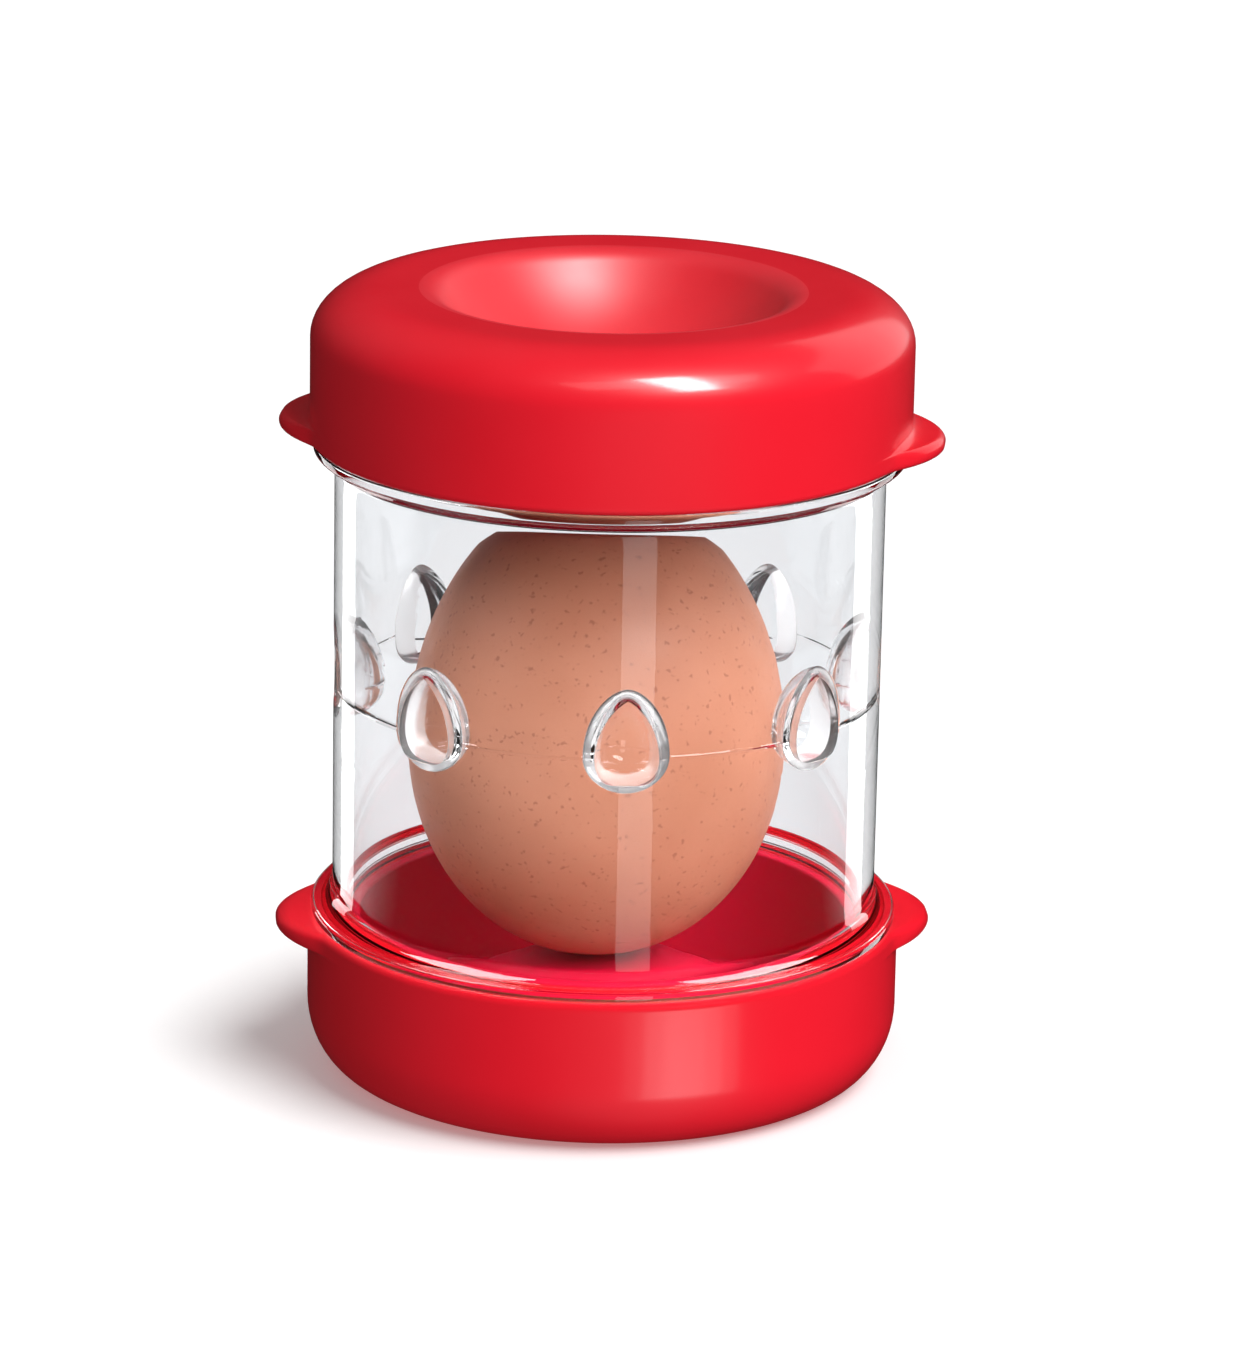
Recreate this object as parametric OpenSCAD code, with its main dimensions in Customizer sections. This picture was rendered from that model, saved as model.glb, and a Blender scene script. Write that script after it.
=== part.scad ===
// Shake-type peeler for a boiled egg: a clear tube with knobs on its inner wall,
// closed at each end by a snap-on cap, with the egg standing inside.
// Millimetres, +Z up, origin at the centre of the face it stands on.

/* [Egg] */
// Width of the egg that the tube is sized around
egg_w = 44.2; // [38:0.2:53]
// Height of the egg
egg_h = 56.4; // [50:0.2:68]
// How much fuller the lower half is than the upper
egg_blunt = 0.07; // [0:0.01:0.15]
// How far the egg stands to one side of the tube's axis
egg_shift = -1.1; // [-1.5:0.1:1.5]
// Free height between the egg and the top cap
headroom = 9.8; // [6:0.2:20]
// Free space between the egg and the knob tips
egg_gap = 3.9; // [2.5:0.1:6]

/* [Tube] */
// Thickness of the clear wall
tube_wall = 1.5; // [1.2:0.1:2.5]
// How far the flange stands out from the wall
flange_out = 2.5; // [2.2:0.1:2.8]
// Thickness of the flange at its edge
flange_t = 1.25; // [0.8:0.05:2]
// Length of tube that goes into each cap
neck_h = 9; // [6:0.5:10.5]
// How far the snap bead stands out from the neck
bead_out = 0.8; // [0.6:0.1:1]
// Height of the snap bead
bead_h = 1.6; // [1:0.1:2.5]

/* [Knobs] */
// Number of knobs around the tube
knob_count = 8; // [4:1:10]
// How far a knob stands in from the wall
knob_depth = 4.6; // [3:0.1:6]
// Width of a knob, or a little over twice its depth where that is more
knob_w = 9.7; // [8:0.1:12]
// Height of the tapered part above the widest line
knob_up = 8.1; // [6:0.1:9.5]
// Height of the round part below the widest line
knob_down = 4.2; // [4:0.1:7]
// Thickness of a knob's shell around the recess in its back
knob_shell = 1.2; // [1:0.05:1.5]
// Height of the knobs' widest line above the middle of the tube
knob_rise = -0.5; // [-4:0.5:4]

/* [Caps] */
// Height of the bottom cap
bottom_h = 18.6; // [16:0.2:23]
// Height of the top cap
top_h = 17.8; // [15.6:0.2:21]
// Width of the bottom cap's rounded corner
bottom_corner_w = 5.9; // [4:0.1:8]
// Height of the bottom cap's rounded corner
bottom_corner_h = 7.9; // [5:0.1:9]
// Width of the top cap's rounded corner
top_corner_w = 8; // [3:0.1:8.5]
// Height of the top cap's rounded corner
top_corner_h = 5.8; // [4:0.1:8]
// Thickness of the skirt
skirt_t = 2; // [1.6:0.1:2.8]
// Thickness of the crown and the dish
crown_t = 1.8; // [1.4:0.1:2.2]
// Thickness of the lip that plugs the bore
plug_t = 1.5; // [1.2:0.1:2]
// Depth of the dish in the crown
dish_depth = 12; // [8:0.5:13]
// Radius at which the dish begins
dish_r = 22.5; // [18:0.5:23.5]
// Rounding of the dish's edge
dish_round = 3.5; // [2.5:0.1:4]
// Turn of the top cap on the tube
top_turn = -10; // [-90:1:90]

/* [Pull tabs] */
// How far a tab reaches out of the skirt
tab_out = 3.8; // [3:0.1:6]
// Radius of a tab's round end
tab_r = 12; // [9:0.5:15]
// Thickness of a tab
tab_t = 2.2; // [1.4:0.1:3]

/* [Fits] */
// Radial clearance of the plug in the bore and of the bead in the skirt
fit_gap = 0.1; // [0.05:0.05:0.3]
// Gap between a flange and the rim it seats on, and under the egg
seat_gap = 0.05; // [0.02:0.01:0.1]

/* [Hidden] */
$fn = 96;
arc_steps = 8;      // straight pieces in each rounded stretch of an outline
egg_steps = 40;     // bands in the egg's outline
knob_steps = 12;    // points along each half side of a knob
rim_round = 0.5;    // rounding of the rim's outer edge
edge_round = 0.4;   // rounding of the plug, the flange and the bead
root_round = 1;     // fillet where the plug meets the crown
groove_web = 3;     // plastic left under the groove, above the crown
knob_point = 1.15;  // exponents of the knob's outline, above and below
knob_round = 1.05;  // its widest line
recess_point = 1.6; // and of the recess's outline: a straight-sided point
recess_round = 0.5; // and a blunt end

bore_r = egg_w / 2 + egg_gap + knob_depth;
tube_r = bore_r + tube_wall;
flange_r = tube_r + flange_out;
bead_r = tube_r + bead_out;
skirt_in = bead_r + fit_gap;
cap_r = skirt_in + skirt_t;
plug_r = bore_r - fit_gap;

// A knob's body is round about an upright axis, `knob_sink` behind the bore's face;
// it never lies in that face, where the two surfaces could not be joined cleanly
knob_sink = max(0.2, (pow(knob_w / 2, 2) - pow(knob_depth, 2)) / (2 * knob_depth));
knob_r = knob_depth + knob_sink;
recess_r = knob_r - knob_shell;

egg_z = dish_depth + crown_t + seat_gap;
total_h = egg_z + egg_h + headroom + crown_t + dish_depth;
low_seat = bottom_h + seat_gap;
high_seat = total_h - top_h - seat_gap;
tube_mid = (low_seat + high_seat) / 2;
knob_z = tube_mid + knob_rise;

// Points of an elliptical arc about [cx, cz], from angle a to angle b
function arc(cx, cz, rx, rz, a, b, n = arc_steps) =
    [for (i = [0:n]) let (t = a + (b - a) * i / n) [cx + rx * cos(t), cz + rz * sin(t)]];

// Outline of a cap that stands on its crown. The dish is a ball of radius `ball`
// whose surface runs smoothly into the rounded edge of the crown.
function cap_outline(h, corner_w, corner_h) =
    let (
        reach = (dish_r * dish_r + dish_depth * dish_depth) / (2 * dish_depth),
        ball = reach - dish_round,
        lean = asin(dish_r / reach),
        centre = dish_depth - ball,
        thin = dish_round - crown_t,
        groove = crown_t + groove_web
    ) concat(
        arc(0, centre, ball, ball, 90, 90 - lean),
        arc(dish_r, dish_round, dish_round, dish_round, 270 - lean, 270),
        arc(cap_r - corner_w, corner_h, corner_w, corner_h, -90, 0),
        arc(cap_r - rim_round, h - rim_round, rim_round, rim_round, 0, 90),
        [[skirt_in, h], [skirt_in, groove], [plug_r, groove]],
        arc(plug_r - edge_round, h - edge_round, edge_round, edge_round, 0, 90),
        arc(plug_r - plug_t + edge_round, h - edge_round, edge_round, edge_round, 90, 180),
        arc(plug_r - plug_t - root_round, crown_t + root_round, root_round, root_round, 0, -90),
        arc(dish_r, dish_round, thin, thin, 270, 270 - lean),
        arc(0, centre, ball + crown_t, ball + crown_t, 90 - lean, 90)
    );

// Two opposite tabs, flush with the rim at height h
module tabs(h) {
    difference() {
        for (side = [-1, 1])
            translate([side * (cap_r + tab_out - tab_r), 0, h - tab_t])
                cylinder(r = tab_r, h = tab_t);
        translate([0, 0, h - 2 * tab_t])
            cylinder(r = cap_r - skirt_t / 2, h = 3 * tab_t);
    }
}

module cap(h, corner_w, corner_h) {
    rotate_extrude()
        polygon(cap_outline(h, corner_w, corner_h));
    tabs(h);
}

// Outer outline of one end of the tube, from the plane z = 0 where its flange
// seats, to the neck's end below and the plain wall above
function end_outline() = concat(
    [[bore_r, -neck_h], [bead_r - edge_round, -neck_h]],
    arc(bead_r - edge_round, edge_round - neck_h, edge_round, edge_round, -90, 0),
    [[bead_r, bead_h - neck_h], [tube_r, bead_h + bead_out - neck_h], [tube_r, 0]],
    arc(flange_r - edge_round, edge_round, edge_round, edge_round, -90, 0),
    arc(flange_r, flange_t + flange_out, flange_out, flange_out, -90, -180)
);

// Outline of the wall, knobs apart: one end, then the other one mirrored
function tube_outline() =
    let (one = end_outline(), n = len(one))
    concat(
        [for (p = one) [p[0], low_seat + p[1]]],
        [for (i = [n - 1:-1:0]) [one[i][0], high_seat - one[i][1]]]
    );

// Half outline of a drop from its lower end to its upper one, widest on y = 0
function drop_half(half_w, down, up, round_end, point) = concat(
    [for (i = [knob_steps:-1:1]) let (a = 90 * i / knob_steps)
        [half_w * pow(cos(a), round_end), -down * sin(a)]],
    [for (i = [0:knob_steps]) let (a = 90 * i / knob_steps)
        [half_w * pow(cos(a), point), up * sin(a)]]
);

function knob_half() = drop_half(knob_r, knob_down, knob_up, knob_round, knob_point);

function recess_half() = drop_half(recess_r, knob_down - knob_shell, knob_up - knob_shell,
    recess_round, recess_point);

// The rest of the outline that a half begins, from its upper end back down
function mirrored(half) = [for (i = [len(half) - 2:-1:1]) [-half[i][0], half[i][1]]];

// Puts one of its children at each knob's axis, the first one on the front
module at_knobs() {
    for (i = [0:knob_count - 1])
        rotate(360 * i / knob_count - 90)
            translate([bore_r + knob_sink, 0, knob_z])
                children();
}

module knobs() {
    intersection() {
        at_knobs()
            rotate_extrude()
                polygon(knob_half());
        cylinder(r = bore_r + tube_wall / 2, h = total_h);
    }
}

// Hollows the knobs from outside, so that they are no thicker than the wall
module recesses() {
    at_knobs() {
        rotate_extrude()
            polygon(recess_half());
        rotate([90, 0, 90])
            linear_extrude(2 * tube_wall)
                polygon(concat(recess_half(), mirrored(recess_half())));
    }
}

module bottom_cap() {
    color("crimson")
        cap(bottom_h, bottom_corner_w, bottom_corner_h);
}

module tube() {
    color("lightcyan", 0.35)
        difference() {
            union() {
                rotate_extrude()
                    polygon(tube_outline());
                knobs();
            }
            recesses();
        }
}

module top_cap() {
    color("crimson")
        translate([0, 0, total_h])
            rotate([180, 0, top_turn])
                cap(top_h, top_corner_w, top_corner_h);
}

// An ellipse whose width falls off a little faster towards the upper pole
module boiled_egg() {
    color("peru")
        translate([egg_shift, 0, egg_z + egg_h / 2])
            rotate_extrude()
                polygon([for (i = [0:egg_steps])
                    let (a = 180 * i / egg_steps - 90)
                    [egg_w / 2 * cos(a) * (1 - egg_blunt * sin(a)), egg_h / 2 * sin(a)]]);
}

bottom_cap();
tube();
top_cap();
boiled_egg();
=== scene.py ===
"""Looks of the egg peeler: two red snap caps, a clear tube with inward knobs, and the egg inside.

Outlines are in millimetres. Sizes that the frame holds come from the frame, and the few that it
can't tell repeat the values of the part's own design.
"""

import math

import bmesh
import bpy
from mathutils import Matrix, Vector


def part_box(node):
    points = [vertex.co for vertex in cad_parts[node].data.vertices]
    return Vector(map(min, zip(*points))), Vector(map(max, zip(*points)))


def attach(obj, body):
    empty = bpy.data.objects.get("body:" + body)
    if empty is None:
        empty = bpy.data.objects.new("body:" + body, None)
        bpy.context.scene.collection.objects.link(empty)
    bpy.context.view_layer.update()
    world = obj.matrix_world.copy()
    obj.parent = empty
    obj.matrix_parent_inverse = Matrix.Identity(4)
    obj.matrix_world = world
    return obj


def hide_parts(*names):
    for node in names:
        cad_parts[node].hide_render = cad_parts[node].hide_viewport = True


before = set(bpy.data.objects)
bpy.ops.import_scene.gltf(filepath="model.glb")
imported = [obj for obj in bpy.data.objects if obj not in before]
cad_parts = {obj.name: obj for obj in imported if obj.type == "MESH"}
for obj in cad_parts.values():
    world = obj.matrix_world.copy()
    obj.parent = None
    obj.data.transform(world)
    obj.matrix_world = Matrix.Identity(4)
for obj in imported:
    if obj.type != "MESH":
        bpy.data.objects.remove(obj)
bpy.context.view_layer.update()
MM = 0.001

# ---------------------------------------------------------------- sizes from the frame, in mm


def span(node):
    low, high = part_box(node)
    return low / MM, high / MM


_, cap_high = span("bottom_cap")
lid_low, lid_high = span("top_cap")
tube_low, tube_high = span("tube")
egg_low, egg_high = span("boiled_egg")

TOTAL_H = lid_high.z
BOTTOM_H = cap_high.z
TOP_H = lid_high.z - lid_low.z
CAP_R = cap_high.y
TAB_REACH = cap_high.x - CAP_R
FLANGE_R = tube_high.y
EGG_MID = (egg_low + egg_high) / 2
EGG_H = egg_high.z - egg_low.z
EGG_W = egg_high.y - egg_low.y

# ---------------------------------------------------------------- sizes that repeat the design, in mm

SEAT_GAP = 0.05
FIT_GAP = 0.1
WALL = 1.5
FLANGE_OUT = 2.5
FLANGE_T = 1.25
BEAD_OUT = 0.8
BEAD_H = 1.6
BEAD_CLEAR = 1.0  # plain neck above the bead before the outline is divided finely
TUBE_R = FLANGE_R - FLANGE_OUT
BORE_R = TUBE_R - WALL
LOW_SEAT = BOTTOM_H + SEAT_GAP
HIGH_SEAT = TOTAL_H - TOP_H - SEAT_GAP
NECK = LOW_SEAT - tube_low.z

SKIRT_T = 2.0
CROWN_T = 1.8
PLUG_R = BORE_R - FIT_GAP
PLUG_T = 1.5
DISH_DEPTH = 12.0
DISH_R = 22.5
DISH_ROUND = 3.5
GROOVE_WEB = 3.0
GROOVE_FLOOR = CROWN_T + GROOVE_WEB
GROOVE_TOP = 0.5  # how far under the rim the groove's own material ends
TOP_TURN = math.radians(-10)
BOTTOM_CORNER = (5.9, 7.9)
TOP_CORNER = (8.0, 5.8)
RIM_ROUND = 0.7
LIP_ROUND = 0.3  # the rim's inner edge
EDGE_ROUND = 0.4
ROOT_ROUND = 1.0
TAB_R = 12.0
TAB_T = 2.2
TAB_ROOT = 0.9  # height of the fillet under a tab
TAB_BLEND = 1.1  # softness of a tab's roots, sideways
TAB_FADE = 5  # how fast a tab ends where its round end meets the skirt

KNOBS = 8
KNOB_RISE = -0.5
KNOB_Z = (LOW_SEAT + HIGH_SEAT) / 2 + KNOB_RISE
KNOB_DEPTH = 4.6
KNOB_W = 9.7
KNOB_SHELL = 1.2
KNOB_SINK = (KNOB_W**2 / 4 - KNOB_DEPTH**2) / (2 * KNOB_DEPTH)
KNOB_AXIS = BORE_R + KNOB_SINK
KNOB_R = KNOB_DEPTH + KNOB_SINK
KNOB_UP = 8.1
KNOB_DOWN = 4.2
# half width, reach up and down, and exponents of the knob's and the recess's drop shapes
KNOB_DROP = (KNOB_R, KNOB_UP, KNOB_DOWN, 1.15, 1.05)
RECESS_DROP = (KNOB_R - KNOB_SHELL, KNOB_UP - KNOB_SHELL, KNOB_DOWN - KNOB_SHELL, 1.6, 0.5)
EGG_BLUNT = 0.07

# ---------------------------------------------------------------- fineness of the meshes

CAP_COLUMNS = 320
EGG_COLUMNS = 144
EGG_STEPS = 96
RIM_STEPS = 7
MERGE = 2e-6  # metres
ON_AXIS = 1e-6  # mm
MARGIN = 0.1  # mm, when faces are sorted by place
LEVEL = 0.9  # a face is level when its normal has more than this along z
DOWN = -0.01  # and faces down when it has less than this
OUTLINE_HALVINGS = 40
EDGE_HALVINGS = 30

# a cell is one knob's share of the band of knobs, from CELL_LOW to CELL_HIGH about KNOB_Z
CELL_COLUMNS = 40
CELL_ROWS = 34
CELL_LOW = -7.5
CELL_HIGH = 11.0
CELL_STEPS = (0, 0.2, 0.4, 0.58, 0.74, 0.86, 0.94, 0.98)  # shares of the way from border to knob
DOME_STEPS = 16
MOUTH_WIDEST = 1.05  # share of a recess's outline where its softened mouth begins
MOUTH_STEPS = ((1.02, 0.02), (1.0, 0.12))  # share of the outline, and depth in mm
THROAT_STEPS = (0.35, 0.7)  # shares of the way from the mouth to the knob's axis
KNOB_FLANK = 0.55  # a knob's face is a steep flank while its normal leans outwards less than this

# ---------------------------------------------------------------- outlines


def arc(cx, cz, rx, rz, start, end, steps):
    """Points (r, z, 0) of an elliptical arc about (cx, cz), with angles in degrees."""
    points = []
    for i in range(steps + 1):
        a = math.radians(start + (end - start) * i / steps)
        points.append((cx + rx * math.cos(a), cz + rz * math.sin(a), 0.0))
    return points


def line(a, b, steps):
    """Evenly spaced points from a to b, without b itself."""
    return [tuple(p + (q - p) * i / steps for p, q in zip(a, b)) for i in range(steps)]


def rim_outline(h):
    """The rim's outside, from the skirt up and over to its inner edge. A point's third number is the
    share of the pull tab's reach by which it moves out, so one sweep makes the rim and both tabs."""
    points = []
    full = 1 - TAB_T / 2 / TAB_REACH

    def radius(z):
        up = max(0.0, z + RIM_ROUND)
        return CAP_R - RIM_ROUND + math.sqrt(max(0.0, RIM_ROUND**2 - up**2))

    for i in range(RIM_STEPS + 1):
        a = math.pi / 2 * i / RIM_STEPS
        z = -TAB_T - TAB_ROOT * (1 - math.sin(a))
        points.append((CAP_R, h + z, full * (1 - math.cos(a))))
    for i in range(1, 2 * RIM_STEPS + 1):
        b = math.pi * (i / (2 * RIM_STEPS) - 0.5)
        z = TAB_T / 2 * (math.sin(b) - 1)
        points.append((radius(z), h + z, full + (1 - full) * math.cos(b)))
    top = points.pop()
    return points + line(top, (CAP_R - SKIRT_T + LIP_ROUND, h, 0.0), 4)


def cap_outline(h, corner):
    """A cap standing on its crown, from the dish's middle outside round to its middle inside."""
    corner_w, corner_h = corner
    reach = (DISH_R**2 + DISH_DEPTH**2) / (2 * DISH_DEPTH)
    ball = reach - DISH_ROUND
    lean = math.degrees(math.asin(DISH_R / reach))
    centre = DISH_DEPTH - ball
    thin = DISH_ROUND - CROWN_T
    skirt_in = CAP_R - SKIRT_T
    plug_in = PLUG_R - PLUG_T
    crown_edge = CAP_R - corner_w
    tab_start = (CAP_R, h - TAB_T - TAB_ROOT, 0.0)
    outside = arc(0, centre, ball, ball, 90, 90 - lean, 16)[:-1]
    outside += arc(DISH_R, DISH_ROUND, DISH_ROUND, DISH_ROUND, 270 - lean, 270, 9)[:-1]
    outside += line((DISH_R, 0.0, 0.0), (crown_edge, 0.0, 0.0), 4)
    outside += arc(crown_edge, corner_h, corner_w, corner_h, -90, 0, 14)[:-1]
    outside += line((CAP_R, corner_h, 0.0), tab_start, 5)
    inside = arc(skirt_in + LIP_ROUND, h - LIP_ROUND, LIP_ROUND, LIP_ROUND, 90, 180, 4)
    inside += line((skirt_in, h - 2 * LIP_ROUND, 0.0), (skirt_in, GROOVE_FLOOR, 0.0), 4)
    inside += [(skirt_in, GROOVE_FLOOR, 0.0), (PLUG_R, GROOVE_FLOOR, 0.0)]
    round_z = h - EDGE_ROUND
    inside += arc(PLUG_R - EDGE_ROUND, round_z, EDGE_ROUND, EDGE_ROUND, 0, 90, 5)
    inside += arc(plug_in + EDGE_ROUND, round_z, EDGE_ROUND, EDGE_ROUND, 90, 180, 5)
    inside += arc(plug_in - ROOT_ROUND, CROWN_T + ROOT_ROUND, ROOT_ROUND, ROOT_ROUND, 0, -90, 6)
    inside += arc(DISH_R, DISH_ROUND, thin, thin, 270, 270 - lean, 7)[:-1]
    inside += arc(0, centre, ball + CROWN_T, ball + CROWN_T, 90 - lean, 90, 16)
    return outside + rim_outline(h) + inside


def tab_reach(theta):
    """How far the pull tabs stand out of the skirt in direction theta, with soft roots."""
    middle = CAP_R + TAB_REACH - TAB_R
    across = middle * math.sin(theta)
    if abs(across) >= TAB_R:
        return 0.0
    along = middle * abs(math.cos(theta)) + math.sqrt(TAB_R**2 - across**2)
    x = along - CAP_R
    root = 0.5 * (x + math.sqrt(x * x + TAB_BLEND**2))
    fade = min(1.0, (1 - abs(across) / TAB_R) * TAB_FADE)
    return min(root * fade, TAB_REACH)


def end_outline():
    """Outside of one tube end, from the neck's end past bead and flange to the plain wall."""
    bead_r = TUBE_R + BEAD_OUT
    e = EDGE_ROUND
    points = [(BORE_R, -NECK, 0.0), (bead_r - e, -NECK, 0.0)]
    points += arc(bead_r - e, e - NECK, e, e, -90, 0, 4)[1:]
    bead_end = BEAD_H + BEAD_OUT - NECK
    points += [(bead_r, BEAD_H - NECK, 0.0), (TUBE_R, bead_end, 0.0)]
    points += line((TUBE_R, bead_end + BEAD_CLEAR, 0.0), (TUBE_R, 0.0, 0.0), 3)
    points += [(TUBE_R, 0.0, 0.0)]
    points += arc(FLANGE_R - e, e, e, e, -90, 0, 5)
    points += arc(FLANGE_R - e, FLANGE_T - e, e, e, 0, 80, 5)
    fillet = FLANGE_OUT - e
    points += arc(FLANGE_R - e, FLANGE_T + fillet, fillet, fillet, -85, -180, 9)
    return points


# ---------------------------------------------------------------- meshes


def new_piece(name, bm, *materials):
    bmesh.ops.remove_doubles(bm, verts=bm.verts, dist=MERGE)
    bmesh.ops.recalc_face_normals(bm, faces=bm.faces)
    mesh = bpy.data.meshes.new(name)
    bm.to_mesh(mesh)
    bm.free()
    mesh.shade_smooth()
    for material in materials:
        mesh.materials.append(material)
    piece = bpy.data.objects.new(name, mesh)
    bpy.context.scene.collection.objects.link(piece)
    return piece


def sweep(bm, outline, columns, start=0.0, reach=None):
    """Turns an outline of (r, z, share) about the axis. Points on the axis become one vertex."""
    rings = []
    for r, z, share in outline:
        if r < ON_AXIS:
            rings.append([bm.verts.new((0, 0, z * MM))] * columns)
            continue
        ring = []
        for j in range(columns):
            theta = start + 2 * math.pi * j / columns
            out = r + (share * reach(theta) if reach else 0.0)
            place = (out * math.cos(theta) * MM, out * math.sin(theta) * MM, z * MM)
            ring.append(bm.verts.new(place))
        rings.append(ring)
    for a, b in zip(rings, rings[1:]):
        for j in range(columns):
            k = (j + 1) % columns
            corners = []
            for v in (a[j], a[k], b[k], b[j]):
                if v not in corners:
                    corners.append(v)
            if len(corners) > 2:
                bm.faces.new(corners)


def make_cap(name, h, corner, materials, place):
    """A cap. The second material is on the dish, the third inside, darker and bluer as painted shade,
    the fourth down the groove, whose glow is painted light.
    """
    bm = bmesh.new()
    sweep(bm, cap_outline(h, corner), CAP_COLUMNS, reach=tab_reach)
    piece = new_piece(name, bm, *materials)
    for face in piece.data.polygons:
        x, y, z = face.center / MM
        r = math.hypot(x, y)
        in_gap = PLUG_R - 2 * MARGIN < r < CAP_R - SKIRT_T + MARGIN
        if in_gap and GROOVE_FLOOR - MARGIN < z < h - GROOVE_TOP:
            face.material_index = 3
        elif r < PLUG_R and face.normal.z > DOWN:
            face.material_index = 2
        elif r < DISH_R:
            face.material_index = 1
    piece.data.transform(place)
    return piece


def make_egg(name, material):
    bm = bmesh.new()
    outline = []
    for i in range(EGG_STEPS + 1):
        a = math.pi * (i / EGG_STEPS - 0.5)
        r = EGG_W / 2 * math.cos(a) * (1 - EGG_BLUNT * math.sin(a))
        if i in (0, EGG_STEPS):
            r = 0.0
        outline.append((r, EGG_H / 2 * math.sin(a), 0.0))
    sweep(bm, outline, EGG_COLUMNS)
    bmesh.ops.transform(bm, matrix=Matrix.Translation(EGG_MID * MM), verts=bm.verts)
    return new_piece(name, bm, material)


def drop_point(drop, direction):
    """The point where the drop's outline crosses the ray from its middle in this direction."""
    half, up, down, point, blunt = drop
    c, s = math.cos(direction), math.sin(direction)
    height, power = (up, point) if s >= 0 else (down, blunt)
    low, high = 0.0, math.pi / 2
    for _ in range(OUTLINE_HALVINGS):
        mid = (low + high) / 2
        u, v = half * math.cos(mid) ** power, height * math.sin(mid)
        if math.atan2(v, u) < math.atan2(abs(s), abs(c)):
            low = mid
        else:
            high = mid
    return math.copysign(u, c), math.copysign(v, s)


def drop_rise(drop, u, v):
    """How far the drop's round body stands in from its axis at (u, v)."""
    half, up, down, point, blunt = drop
    height, power = (up, point) if v >= 0 else (down, blunt)
    radius = half * math.cos(math.asin(min(1.0, abs(v) / height))) ** power
    return math.sqrt(max(0.0, radius**2 - u**2))


def cell_border(radius):
    """The cell's border on a wall of this radius, counter-clockwise from its lower left corner."""
    points = []
    half = math.pi / KNOBS
    tall = CELL_HIGH - CELL_LOW
    for i in range(CELL_COLUMNS):
        points.append((radius * math.sin(-half + 2 * half * i / CELL_COLUMNS), CELL_LOW))
    for i in range(CELL_ROWS):
        points.append((radius * math.sin(half), CELL_LOW + tall * i / CELL_ROWS))
    for i in range(CELL_COLUMNS):
        points.append((radius * math.sin(half - 2 * half * i / CELL_COLUMNS), CELL_HIGH))
    for i in range(CELL_ROWS):
        points.append((radius * math.sin(-half), CELL_HIGH - tall * i / CELL_ROWS))
    return points


def wall_at(radius, u):
    """Distance of a round wall's surface from the tube's axis plane, u to the side."""
    return math.sqrt(radius**2 - u**2)


def edge_share(drop, du, dv):
    """The share of the way to the drop's outline at which the knob meets the bore."""
    low, high = 0.5, 1.0
    for _ in range(EDGE_HALVINGS):
        q = (low + high) / 2
        if KNOB_AXIS - drop_rise(drop, q * du, q * dv) < wall_at(BORE_R, q * du):
            low = q
        else:
            high = q
    return low


def join_rings(bm, rings):
    count = len(rings[0])
    for a, b in zip(rings, rings[1:]):
        for j in range(count):
            k = (j + 1) % count
            bm.faces.new((a[j], a[k], b[k], b[j]))


def add_cell(bm, angle, radius, drop, levels):
    """One knob's cell of a wall. Rings run from the cell's border to the drop's outline and on over
    its dome. For a point of the outline, `levels` lists how far along the way to it each ring of the
    dome is and its distance from the tube's axis."""
    along = Vector((math.cos(angle), math.sin(angle), 0))
    across = Vector((-math.sin(angle), math.cos(angle), 0))
    border = cell_border(radius)
    outline = [drop_point(drop, math.atan2(v, u)) for u, v in border]
    ends = [levels(du, dv) for du, dv in outline]

    def vertex(u, v, out):
        return bm.verts.new((along * out + across * u) * MM + Vector((0, 0, (KNOB_Z + v) * MM)))

    rings = []
    for t in CELL_STEPS:
        ring = []
        for (u, v), (du, dv), steps in zip(border, outline, ends):
            q = steps[0][0]
            x, y = u + (du * q - u) * t, v + (dv * q - v) * t
            ring.append(vertex(x, y, wall_at(radius, x)))
        rings.append(ring)
    for i in range(len(ends[0])):
        ring = []
        for (du, dv), steps in zip(outline, ends):
            q, out = steps[i]
            ring.append(vertex(du * q, dv * q, out))
        rings.append(ring)
    join_rings(bm, rings)
    middle = vertex(0, 0, KNOB_AXIS - drop[0])
    last = rings[-1]
    for j in range(len(last)):
        bm.faces.new((last[j], last[(j + 1) % len(last)], middle))


def knob_levels(du, dv):
    """Over a knob, from where it meets the bore."""
    edge = edge_share(KNOB_DROP, du, dv)
    levels = []
    for i in range(DOME_STEPS):
        q = edge * math.cos(math.pi / 2 * i / DOME_STEPS)
        levels.append((q, KNOB_AXIS - drop_rise(KNOB_DROP, q * du, q * dv)))
    return levels


def recess_levels(du, dv):
    """Down a recess, from its softened mouth in the outer wall."""
    mouth = wall_at(TUBE_R, du)
    levels = [(MOUTH_WIDEST, wall_at(TUBE_R, du * MOUTH_WIDEST))]
    levels += [(q, mouth - depth) for q, depth in MOUTH_STEPS]
    levels += [(1.0, mouth + (KNOB_AXIS - mouth) * t) for t in THROAT_STEPS]
    for i in range(DOME_STEPS):
        q = math.cos(math.pi / 2 * i / DOME_STEPS)
        levels.append((q, KNOB_AXIS - drop_rise(RECESS_DROP, q * du, q * dv)))
    return levels


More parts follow.
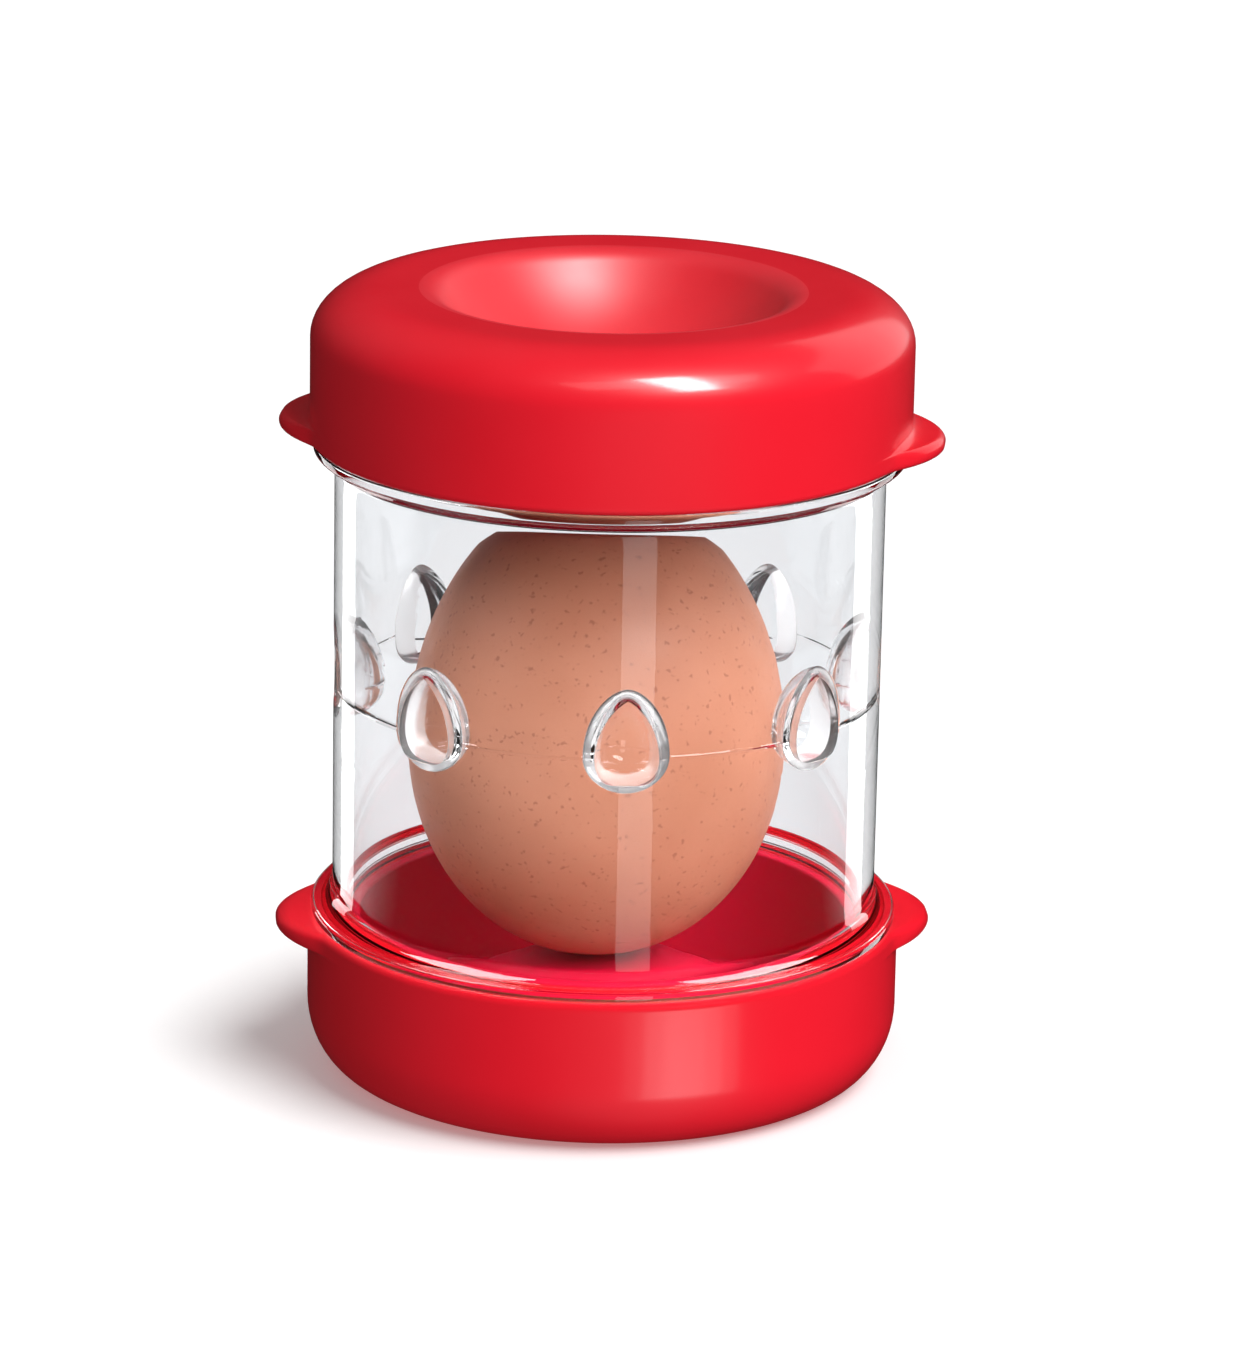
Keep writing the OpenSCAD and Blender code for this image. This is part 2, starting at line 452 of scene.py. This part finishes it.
def make_tube(name, *materials):
    """One closed skin: the outside with flanges, necks and recesses, and the bore with its knobs.
    The second material is on the flanges' seats, the third on the knobs' steep flanks."""
    bm = bmesh.new()
    turn = math.pi / KNOBS
    one = end_outline()
    low = [(r, LOW_SEAT + z, s) for r, z, s in one]
    high = [(r, HIGH_SEAT - z, s) for r, z, s in reversed(one)]
    band_low, band_high = KNOB_Z + CELL_LOW, KNOB_Z + CELL_HIGH
    wall_low, wall_high = (TUBE_R, band_low, 0.0), (TUBE_R, band_high, 0.0)
    bore_low, bore_high = (BORE_R, band_low, 0.0), (BORE_R, band_high, 0.0)
    for outline in (
        low + line(low[-1], wall_low, 9)[1:] + [wall_low],
        line(wall_high, high[0], 9) + high,
        line(low[0], bore_low, 10) + [bore_low],
        line(bore_high, high[-1], 10) + [high[-1]],
    ):
        sweep(bm, outline, CELL_COLUMNS * KNOBS, turn)
    for i in range(KNOBS):
        add_cell(bm, 2 * turn * i, BORE_R, KNOB_DROP, knob_levels)
        add_cell(bm, 2 * turn * i, TUBE_R, RECESS_DROP, recess_levels)
    piece = new_piece(name, bm, *materials)
    for face in piece.data.polygons:
        x, y, z = face.center / MM
        outward = Vector((x, y, 0)).normalized()
        at_seat = min(abs(z - LOW_SEAT), abs(z - HIGH_SEAT)) < MARGIN / 10
        if at_seat and math.hypot(x, y) > TUBE_R and abs(face.normal.z) > LEVEL:
            face.material_index = 1
        elif CELL_LOW < z - KNOB_Z < CELL_HIGH and abs(face.normal.dot(outward)) < KNOB_FLANK:
            face.material_index = 2
    return piece


# ---------------------------------------------------------------- materials


def new_material(name):
    material = bpy.data.materials.new(name)
    material.use_nodes = True
    tree = material.node_tree
    return material, tree, tree.nodes["Principled BSDF"]


def set_inputs(tree, made, inputs):
    """Links the values that are other nodes' outputs, and sets the others on the sockets."""
    for key, value in inputs.items():
        if isinstance(value, bpy.types.NodeSocket):
            tree.links.new(value, made.inputs[key])
        else:
            made.inputs[key].default_value = value


def node(tree, kind, inputs=None, **settings):
    made = tree.nodes.new(kind)
    for key, value in settings.items():
        setattr(made, key, value)
    set_inputs(tree, made, inputs or {})
    return made


def compute(tree, operation, *values):
    return node(tree, "ShaderNodeMath", dict(enumerate(values)), operation=operation).outputs[0]


def noise(tree, scale, detail):
    place = node(tree, "ShaderNodeTexCoord").outputs["Object"]
    settings = {"Vector": place, "Scale": scale, "Detail": detail}
    return node(tree, "ShaderNodeTexNoise", settings).outputs["Fac"]


def ramp(tree, value, low, high, out_low=0.0, out_high=1.0):
    limits = {"From Min": low, "From Max": high, "To Min": out_low, "To Max": out_high}
    return node(tree, "ShaderNodeMapRange", {"Value": value, **limits}).outputs["Result"]


def spread_noise(tree, scale, detail, out_low, out_high):
    """Noise whose usual range is spread over the two values."""
    return ramp(tree, noise(tree, scale, detail), 0.3, 0.7, out_low, out_high)


def mix_colour(tree, share, a, b):
    """Mix node for colours, whose sockets have to be told apart by number."""
    made = node(tree, "ShaderNodeMix", {0: share, 6: a, 7: b}, data_type="RGBA")
    return made.outputs[2]


def bump(tree, height, strength, distance, normal=None):
    inputs = {"Height": height, "Strength": strength, "Distance": distance}
    if normal is not None:
        inputs["Normal"] = normal
    return node(tree, "ShaderNodeBump", inputs).outputs["Normal"]


def coordinate(tree, axis):
    """The place on the object along one axis, in metres."""
    place = node(tree, "ShaderNodeTexCoord").outputs["Object"]
    return node(tree, "ShaderNodeSeparateXYZ", {"Vector": place}).outputs[axis]


def red_plastic(name, specular, coat=0.0, glow=0.0, shade=1.0, blue=1.0, rough=0.39):
    """Soft red plastic. The glow stands for light that seeps through a cap into its narrow groove."""
    material, tree, shader = new_material(name)
    cloud = ramp(tree, noise(tree, 35.0, 3.0), 0.35, 0.65)
    low = (0.79 * shade, 0.0065, 0.019 * blue, 1)
    high = (0.83 * shade, 0.008, 0.023 * blue, 1)
    set_inputs(tree, shader, {
        "Base Color": mix_colour(tree, cloud, low, high),
        "Roughness": spread_noise(tree, 120.0, 4.0, rough - 0.03, rough + 0.03),
        "Normal": bump(tree, noise(tree, 1500.0, 3.0), strength=0.05, distance=0.00004),
        "IOR": 1.5,
        "Specular IOR Level": specular,
        "Coat Weight": coat,
        "Coat Roughness": 0.15,
        "Emission Color": (0.85, 0.008, 0.02, 1),
        "Emission Strength": glow,
    })
    return material


def parting_ridge(tree):
    """Height of the fine ridge that the mould's parting line leaves round the tube."""
    half_width = 0.00018
    away = compute(tree, "SUBTRACT", coordinate(tree, "Z"), KNOB_Z * MM)
    return ramp(tree, compute(tree, "ABSOLUTE", away), 0.0, half_width, 1.0, 0.0)


def clear_plastic():
    material, tree, shader = new_material("clear_plastic")
    waves = bump(tree, noise(tree, 90.0, 1.0), strength=0.02, distance=0.0002)
    set_inputs(tree, shader, {
        "Base Color": (0.925, 0.935, 0.95, 1),
        "Transmission Weight": 1.0,
        "IOR": 1.49,
        "Roughness": spread_noise(tree, 60.0, 3.0, 0.0, 0.02),
        "Normal": bump(tree, parting_ridge(tree), strength=0.6, distance=0.00012, normal=waves),
    })
    return material


def flank_plastic():
    """The knobs' steep flanks, which look a little dull and milky; the milky white stands in for the
    bright light the flanks would mirror, a painted reflection.
    """
    material, tree, shader = new_material("clear_plastic_flank")
    set_inputs(tree, shader, {
        "Base Color": (0.95, 0.95, 0.96, 1),
        "Transmission Weight": 0.85,
        "IOR": 1.35,
        "Roughness": spread_noise(tree, 200.0, 3.0, 0.12, 0.22),
    })
    return material


def seated_plastic():
    """The flanges' seats. The soft rims cling to them, so that no film of air is left to mirror, and
    they are tinted grey as painted shade, so that the rims under them look darker."""
    material, tree, shader = new_material("clear_plastic_seat")
    set_inputs(tree, shader, {
        "Base Color": (0.45, 0.45, 0.46, 1),
        "Transmission Weight": 1.0,
        "IOR": 1.0,
        "Roughness": spread_noise(tree, 60.0, 3.0, 0.0, 0.02),
    })
    return material


def eggshell():
    material, tree, shader = new_material("brown_eggshell")
    cloud = ramp(tree, noise(tree, 45.0, 4.0), 0.35, 0.65)
    base = mix_colour(tree, cloud, (0.52, 0.203, 0.118, 1), (0.60, 0.255, 0.157, 1))
    specks = ramp(tree, noise(tree, 1500.0, 1.0), 0.65, 0.73, 0.0, 0.5)
    pores = bump(tree, noise(tree, 1400.0, 3.0), strength=0.3, distance=0.00006)
    set_inputs(tree, shader, {
        "Base Color": mix_colour(tree, specks, base, (0.24, 0.07, 0.04, 1)),
        "Roughness": spread_noise(tree, 300.0, 3.0, 0.42, 0.56),
        "Normal": bump(tree, noise(tree, 260.0, 3.0), strength=0.15, distance=0.0001, normal=pores),
        "Specular IOR Level": 0.3,
    })
    return material


def floor_material():
    """Pale and matt. The part in front of the object is dim where the clear wall mirrors it once, so
    that it veils nothing behind the wall, and the floor lights matt surfaces only dimly."""
    material, tree, shader = new_material("pale_floor")
    grain = spread_noise(tree, 8.0, 2.0, 0.0, 1.0)
    set_inputs(tree, shader, {
        "Base Color": mix_colour(tree, grain, (0.90, 0.90, 0.90, 1), (0.92, 0.92, 0.92, 1)),
        "Roughness": 0.9,
        "Specular IOR Level": 0.0,
        "Emission Color": (1, 1, 1, 1),
        "Emission Strength": FLOOR_GLOW,
    })
    rays = node(tree, "ShaderNodeLightPath").outputs
    front = ramp(tree, coordinate(tree, "Y"), 0.0, 0.04, 1.0, 0.0)
    once = compute(tree, "COMPARE", rays["Glossy Depth"], 1.0)
    through = compute(tree, "MULTIPLY", once, rays["Is Transmission Ray"])
    veil = compute(tree, "MULTIPLY", front, through)
    dim = node(tree, "ShaderNodeMath", {0: veil, 1: rays["Diffuse Depth"]}, operation="ADD")
    dim.use_clamp = True
    dim_light = node(tree, "ShaderNodeEmission", {"Strength": FLOOR_DIM})
    sorted_rays = node(tree, "ShaderNodeMixShader", {0: dim.outputs[0]})
    tree.links.new(shader.outputs[0], sorted_rays.inputs[1])
    tree.links.new(dim_light.outputs[0], sorted_rays.inputs[2])
    tree.links.new(sorted_rays.outputs[0], tree.nodes["Material Output"].inputs["Surface"])
    return material


# ---------------------------------------------------------------- camera and studio

WORLD_FILL = 0.275
WORLD_GLOSS = 0.01
FLOOR_GLOW = 0.19
FLOOR_DIM = 0.10
FLOOR_HALF = 4.0
FLOOR_CELLS = 8
AIM = Vector((0, 0, 45)) * MM
CAMERA_AZIMUTH = math.radians(-4.5)
CAMERA_ELEVATION = math.radians(16.67)
CAMERA_ROLL = math.radians(1.08)
CAMERA_DISTANCE = 0.736
CAMERA_SLIDE = (1.25 * MM, 2.29 * MM)
CAMERA_NEAR = 0.01
SENSOR = 36.0
LENS = 167.06

# a fan of near cards that make one soft-sided highlight on the bottom cap's skirt; each card faces
# its own spot, and the spots are in mm
FAN_RADIANCES = (0.8, 3.2, 4.6, 4.2, 3.2, 1.6)
FAN_START = (1.3, -34.4, 10.4)
FAN_STEP = 3.0
FAN_AZIMUTH = 8.5
FAN_TURN = 7.5


def toward(azimuth, elevation):
    """Unit vector from the object; azimuth 0 is the front, -Y, and grows towards +X."""
    flat = math.cos(elevation)
    return Vector((flat * math.sin(azimuth), -flat * math.cos(azimuth), math.sin(elevation)))


def make_camera():
    back = toward(CAMERA_AZIMUTH, CAMERA_ELEVATION)
    right = Vector((0, 0, 1)).cross(back).normalized()
    up = back.cross(right)
    place = AIM + back * CAMERA_DISTANCE + right * CAMERA_SLIDE[0] + up * CAMERA_SLIDE[1]
    c, s = math.cos(CAMERA_ROLL), math.sin(CAMERA_ROLL)
    across, upward = right * c + up * s, up * c - right * s
    data = bpy.data.cameras.new("camera")
    data.sensor_fit = "VERTICAL"
    data.sensor_height = SENSOR
    data.lens = LENS
    data.clip_start = CAMERA_NEAR
    camera = bpy.data.objects.new("camera", data)
    turn = Matrix((across, upward, back)).transposed().to_4x4()
    camera.matrix_world = Matrix.Translation(place) @ turn
    bpy.context.scene.collection.objects.link(camera)
    bpy.context.scene.camera = camera


def group(name, pieces):
    made = bpy.data.collections.new(name)
    for piece in pieces:
        made.objects.link(piece)
    return made


def place_light(light, direction, receivers, blockers=()):
    light.rotation_euler = direction.to_track_quat("Z", "Y").to_euler()
    light.visible_camera = False
    light.light_linking.receiver_collection = group(light.name + "_on", receivers)
    if blockers:
        light.light_linking.blocker_collection = group(light.name + "_behind", blockers)
    bpy.context.scene.collection.objects.link(light)


def mirror_card(name, azimuth, elevation, distance, width, height, radiance, receivers, at=AIM):
    """A softbox that faces `at` and gives only a mirror image. Angles are in degrees, lengths in m."""
    data = bpy.data.lights.new(name, "AREA")
    data.shape = "RECTANGLE"
    data.size = width
    data.size_y = height
    data.energy = radiance * math.pi * width * height
    light = bpy.data.objects.new(name, data)
    direction = toward(math.radians(azimuth), math.radians(elevation))
    light.location = at + direction * distance
    light.visible_diffuse = False
    place_light(light, direction, receivers)


def sun_light(name, azimuth, elevation, strength, angle, receivers, blockers=()):
    """A broad soft light without a mirror image. The blockers, where given, are all that shade it."""
    data = bpy.data.lights.new(name, "SUN")
    data.energy = strength
    data.angle = math.radians(angle)
    light = bpy.data.objects.new(name, data)
    light.visible_glossy = False
    place_light(light, toward(math.radians(azimuth), math.radians(elevation)), receivers, blockers)


def make_world():
    """White where the tube lets it through, a soft fill for matt surfaces, nearly dark for gloss."""
    world = bpy.data.worlds.new("studio")
    bpy.context.scene.world = world
    world.use_nodes = True
    tree = world.node_tree
    rays = node(tree, "ShaderNodeLightPath").outputs
    matt = ramp(tree, rays["Diffuse Depth"], 0.0, 1.0, 1.0, WORLD_FILL)
    set_inputs(tree, tree.nodes["Background"], {
        "Strength": ramp(tree, rays["Is Glossy Ray"], 0.0, 1.0, matt, WORLD_GLOSS),
        "Color": (1, 1, 1, 1),
    })


def make_floor():
    bm = bmesh.new()
    bmesh.ops.create_grid(bm, x_segments=FLOOR_CELLS, y_segments=FLOOR_CELLS, size=FLOOR_HALF)
    piece = new_piece("floor", bm, floor_material())
    piece.visible_glossy = False
    piece.visible_diffuse = False
    piece.visible_shadow = False
    return piece


# ---------------------------------------------------------------- the object

reds = (
    red_plastic("red_soft_plastic", 0.2, coat=0.5),
    red_plastic("red_satin_plastic", 0.6, shade=0.92, rough=0.46),
    # the inside copy is darker and bluer: painted shade inside the caps
    red_plastic("red_plastic_inside", 0.08, shade=0.7, blue=1.7),
    # the groove copy glows: painted light in the narrow groove
    red_plastic("red_plastic_groove", 0.1, glow=0.42),
)
lid_place = (
    Matrix.Translation((0, 0, TOTAL_H * MM))
    @ Matrix.Rotation(TOP_TURN, 4, "Z")
    @ Matrix.Rotation(math.pi, 4, "X")
)
bottom = make_cap("red_bottom_cap", BOTTOM_H, BOTTOM_CORNER, reds, Matrix.Identity(4))
lid = make_cap("red_top_cap", TOP_H, TOP_CORNER, reds, lid_place)
tube = make_tube("clear_tube", clear_plastic(), seated_plastic(), flank_plastic())
tube.visible_shadow = False
egg = make_egg("brown_egg", eggshell())

for piece, body, cad_node, slot in (
    (bottom, "base", "bottom_cap", "red_cap"),
    (lid, "lid", "top_cap", "red_cap"),
    (tube, "chamber", "tube", "clear_plastic"),
    (egg, "egg", "boiled_egg", "eggshell"),
):
    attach(piece, body)
    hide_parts(cad_node)

make_camera()
make_world()
floor = make_floor()

# name, azimuth, elevation, strength, angle, lit pieces and, for some, the pieces that shade them
for sun in (
    ("soft_sun", 36, 44, 3.2, 35, (bottom, lid, tube)),
    ("bounce_sun", 14, -35, 0.85, 60, (bottom, lid)),
    ("back_sun", 205, 35, 0.55, 60, (bottom, lid, egg)),
    ("egg_sun", 30, 34, 1.4, 35, (egg,)),
    ("egg_front_sun", 28, 17, 1.7, 30, (egg,)),
    ("egg_low_sun", 40, -50, 0.1, 60, (egg,), (egg,)),
    ("floor_sun", 55, 52, 2.9, 50, (floor,), (bottom,)),
):
    sun_light(*sun)

# name, azimuth, elevation, distance, width, height, radiance and mirroring pieces
for card in (
    ("key_card", 33, 57, 0.6, 0.14, 0.34, 45.0, (lid, egg)),
    ("top_card", 24, 62, 0.6, 0.60, 0.18, 2.6, (lid,)),
    ("side_card", 124, 25, 0.6, 0.62, 0.50, 1.2, (lid,)),
):
    mirror_card(*card)

x, y, z = FAN_START
for i, radiance in enumerate(FAN_RADIANCES):
    azimuth = FAN_AZIMUTH + FAN_TURN * i
    spot = Vector((x + FAN_STEP * i, y, z)) * MM
    mirror_card("low_card_%d" % i, azimuth, -22.0, 0.110, 0.0165, 0.032, radiance, (bottom,), spot)

for card in (
    ("front_strip", 8, -17, 0.5, 0.115, 0.22, 2.1, (tube,)),
    ("front_strip_core", 8, -17, 0.5, 0.070, 0.20, 1.4, (tube,)),
    ("right_strip", 125.5, -17, 0.5, 0.15, 0.40, 3.0, (tube,)),
    ("left_strip", -141, -17, 0.5, 0.135, 0.40, 3.0, (tube,)),
    ("left_top_card", -90, 55, 0.5, 0.30, 0.30, 14.0, (tube,)),
    ("right_top_card", 95, 55, 0.5, 0.30, 0.30, 14.0, (tube,)),
):
    mirror_card(*card)

bpy.context.scene.view_settings.view_transform = "Standard"
